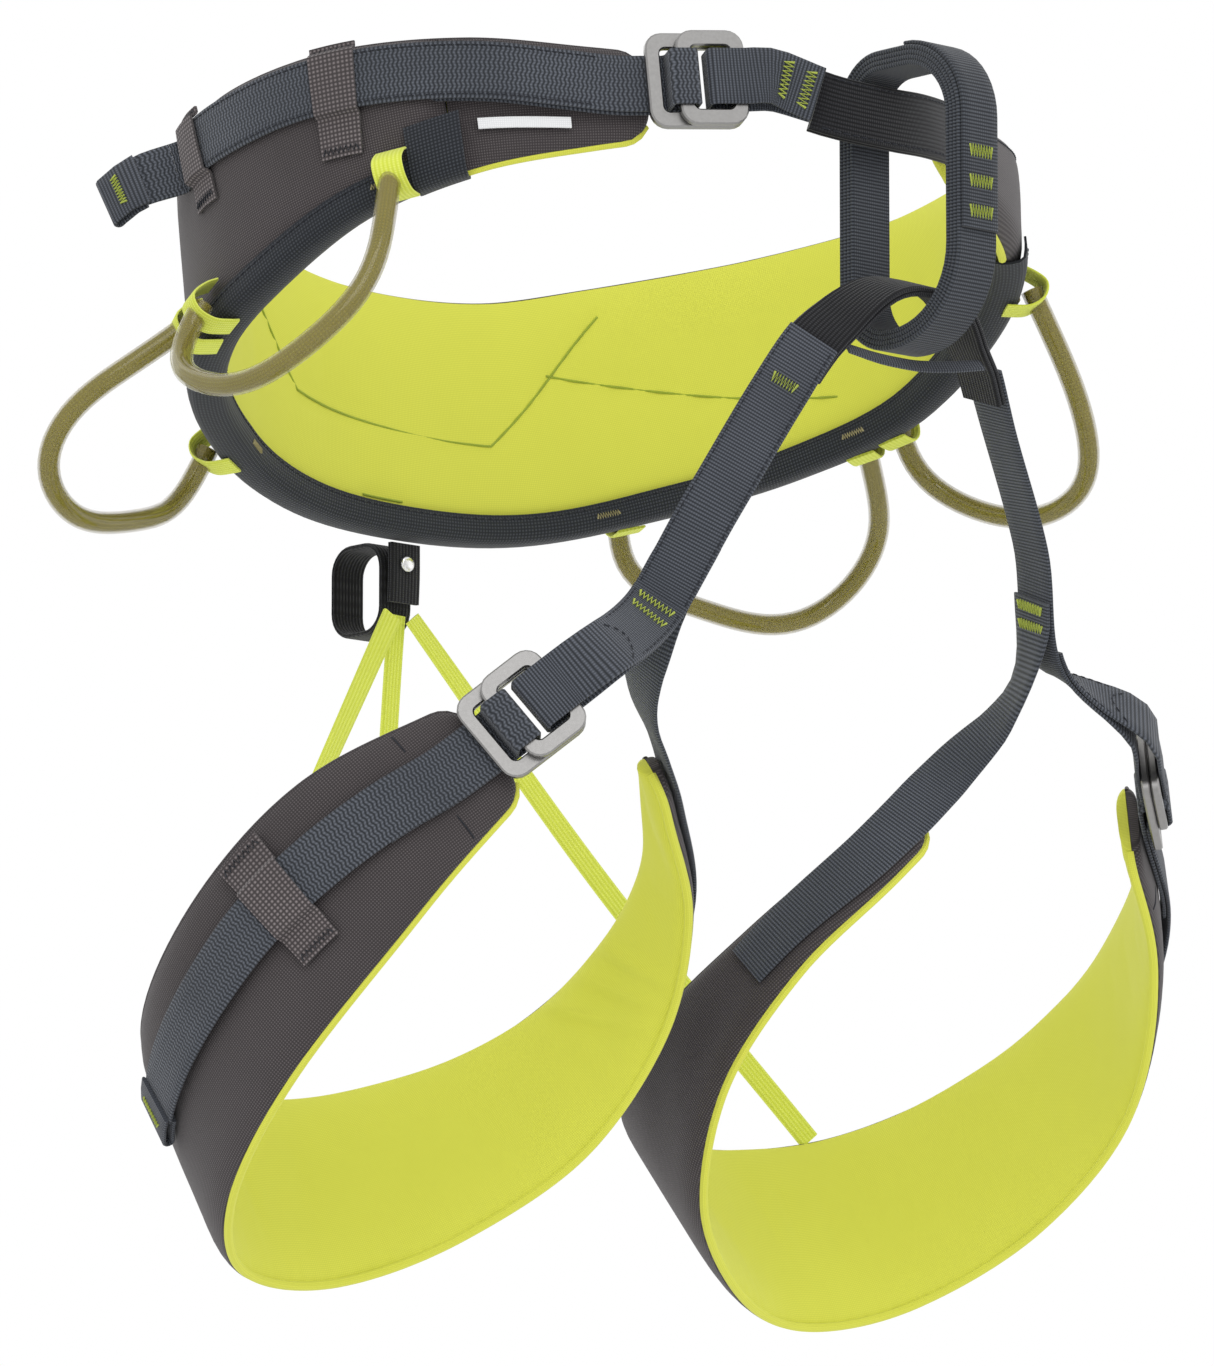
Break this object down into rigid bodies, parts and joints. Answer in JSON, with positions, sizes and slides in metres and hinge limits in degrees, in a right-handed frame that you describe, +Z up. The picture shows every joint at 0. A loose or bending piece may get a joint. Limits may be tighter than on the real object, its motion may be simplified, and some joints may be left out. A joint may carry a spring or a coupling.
{
  "type": "climbing harness",
  "caption": "Climbing harness with a padded waist belt, a sewn belay loop, adjustable padded leg loops, two-frame friction buckles, webbing tails in elastic keepers and flexible tube gear loops.",
  "frame": {"origin": "middle of the waist opening, level with the middle of the belt", "axes": "+Z up along the wearer's spine, -Y towards the wearer's front, +X towards the wearer's left"},
  "size_m": [0.4293, 0.3264, 0.4248],
  "materials": {
    "shell_cloth": "matt charcoal-brown woven nylon",
    "lime_lining": "matt lime lining cloth",
    "foam": "closed-cell foam core, hidden inside the cloth",
    "navy_webbing": "matt navy-charcoal polyamide webbing",
    "black_webbing": "matt black webbing with lengthwise ribs",
    "keeper_elastic": "coarse brown elastic",
    "lime_elastic": "lime elastic strap",
    "gear_tube": "smoky translucent flexible tube",
    "gear_core": "olive-lime woven core",
    "buckle_alloy": "satin silver",
    "label_cloth": "white satin label cloth",
    "rivet_steel": "small round rivet head"
  },
  "bodies": {
    "belt": {"waist_foam": "foam", "waist_lining": "lime_lining", "waist_front_panel": "shell_cloth", "waist_shell": "shell_cloth", "waist_binding": "navy_webbing", "waist_load_webbing": "navy_webbing", "care_label": "label_cloth", "waist_buckle_inner_frame": "buckle_alloy", "waist_buckle_strap": "navy_webbing", "waist_webbing": "navy_webbing", "tie_in_webbing": "black_webbing", "waist_keeper_front": "keeper_elastic", "waist_keeper_rear": "keeper_elastic", "hanger_tab": "black_webbing", "hanger_rivet": "rivet_steel", "elastic_left": "lime_elastic", "elastic_right": "lime_elastic"},
    "belay_loop": {"belay_loop": "black_webbing"},
    "gear_loop_front_left": {"gear_tube_front_left": "gear_tube", "gear_core_front_left": "gear_core"},
    "gear_loop_rear_left": {"gear_tube_rear_left": "gear_tube", "gear_core_rear_left": "gear_core"},
    "gear_loop_front_right": {"gear_tube_front_right": "gear_tube", "gear_core_front_right": "gear_core"},
    "gear_loop_rear_right": {"gear_tube_rear_right": "gear_tube", "gear_core_rear_right": "gear_core"},
    "haul_loop": {"haul_loop": "black_webbing"},
    "elastic_slack": {"elastic_tail": "lime_elastic"},
    "belt_tail": {"waist_tail_end": "navy_webbing", "waist_tail_tab": "navy_webbing"},
    "belt_buckle_frame": {"waist_buckle_outer_frame": "buckle_alloy"},
    "leg_left": {"leg_foam_left": "foam", "leg_shell_left": "shell_cloth", "leg_lining_left": "lime_lining", "leg_inner_strap_left": "navy_webbing", "leg_bridge_left": "black_webbing", "leg_buckle_inner_frame_left": "buckle_alloy", "leg_front_strap_left": "navy_webbing", "leg_webbing_left": "navy_webbing", "leg_keeper_left": "keeper_elastic", "leg_spacer_strap_left": "black_webbing"},
    "leg_tail_left": {"leg_tail_end_left": "navy_webbing", "leg_tail_tab_left": "navy_webbing"},
    "leg_buckle_frame_left": {"leg_buckle_outer_frame_left": "buckle_alloy"},
    "leg_right": {"leg_foam_right": "foam", "leg_shell_right": "shell_cloth", "leg_lining_right": "lime_lining", "leg_inner_strap_right": "navy_webbing", "leg_bridge_right": "black_webbing", "leg_buckle_inner_frame_right": "buckle_alloy", "leg_front_strap_right": "navy_webbing", "leg_webbing_right": "navy_webbing", "leg_keeper_right": "keeper_elastic", "leg_spacer_strap_right": "black_webbing"},
    "leg_tail_right": {"leg_tail_end_right": "navy_webbing", "leg_tail_tab_right": "navy_webbing"},
    "leg_buckle_frame_right": {"leg_buckle_outer_frame_right": "buckle_alloy"}
  },
  "joints": [
    {"name": "belay_loop_turn", "type": "hinge", "parent": "belt", "child": "belay_loop", "pos_m": [0, -0.126, 0.0115], "axis": [0, 0, 1], "range_deg": [-5, 5]},
    {"name": "gear_loop_front_left_flex", "type": "hinge", "parent": "belt", "child": "gear_loop_front_left", "pos_m": [0.15979, -0.00255, -0.0056], "axis": [-0.1531, -0.9029, 0.4016], "range_deg": [-4, 40], "stiffness_Nm_per_rad": 0.2},
    {"name": "gear_loop_rear_left_flex", "type": "hinge", "parent": "belt", "child": "gear_loop_rear_left", "pos_m": [0.13, 0.08417, -0.04172], "axis": [0.6788, -0.6796, 0.2782], "range_deg": [-4, 40], "stiffness_Nm_per_rad": 0.2},
    {"name": "gear_loop_front_right_flex", "type": "hinge", "parent": "belt", "child": "gear_loop_front_right", "pos_m": [-0.15979, -0.00255, -0.0056], "axis": [-0.1531, 0.9029, -0.4016], "range_deg": [-4, 40], "stiffness_Nm_per_rad": 0.2},
    {"name": "gear_loop_rear_right_flex", "type": "hinge", "parent": "belt", "child": "gear_loop_rear_right", "pos_m": [-0.13, 0.08417, -0.04172], "axis": [0.6788, 0.6796, -0.2782], "range_deg": [-4, 40], "stiffness_Nm_per_rad": 0.2},
    {"name": "haul_loop_swing", "type": "hinge", "parent": "belt", "child": "haul_loop", "pos_m": [0, 0.141, -0.077], "axis": [1, 0, 0], "range_deg": [0, 60]},
    {"name": "elastic_slack_swing", "type": "hinge", "parent": "belt", "child": "elastic_slack", "pos_m": [0, 0.127, -0.102], "axis": [1, 0, 0], "range_deg": [-10, 23]},
    {"name": "belt_tail_lift", "type": "hinge", "parent": "belt", "child": "belt_tail", "pos_m": [-0.16046, 0.06057, 0.02825], "axis": [-0.0422, 0.374, 0.9265], "range_deg": [0, 40], "stiffness_Nm_per_rad": 0.02},
    {"name": "belt_buckle_release", "type": "slide", "parent": "belt", "child": "belt_buckle_frame", "axis": [-0.889, 0.4547, -0.0546], "range_m": [0, 0.003]},
    {"name": "leg_left_swing", "type": "hinge", "parent": "belt", "child": "leg_left", "pos_m": [0, -0.14, -0.024], "axis": [1, 0, 0], "range_deg": [-25, 9], "stiffness_Nm_per_rad": 0.8, "springref_deg": 6.3},
    {"name": "leg_tail_left_lift", "type": "hinge", "parent": "leg_left", "child": "leg_tail_left", "pos_m": [0.20999, -0.03785, -0.23843], "axis": [-0.2935, -0.6056, -0.7397], "range_deg": [0, 45], "stiffness_Nm_per_rad": 0.02},
    {"name": "leg_buckle_left_release", "type": "slide", "parent": "leg_left", "child": "leg_buckle_frame_left", "axis": [0.6826, 0.4766, -0.554], "range_m": [0, 0.003]},
    {"name": "leg_right_swing", "type": "hinge", "parent": "belt", "child": "leg_right", "pos_m": [0, -0.14, -0.024], "axis": [1, 0, 0], "range_deg": [-25, 9], "stiffness_Nm_per_rad": 0.8, "springref_deg": 6.32},
    {"name": "leg_tail_right_lift", "type": "hinge", "parent": "leg_right", "child": "leg_tail_right", "pos_m": [-0.20919, -0.04099, -0.24938], "axis": [-0.3164, 0.6124, 0.7245], "range_deg": [0, 45], "stiffness_Nm_per_rad": 0.02},
    {"name": "leg_buckle_right_release", "type": "slide", "parent": "leg_right", "child": "leg_buckle_frame_right", "axis": [-0.6416, 0.4475, -0.623], "range_m": [0, 0.003]}
  ]
}
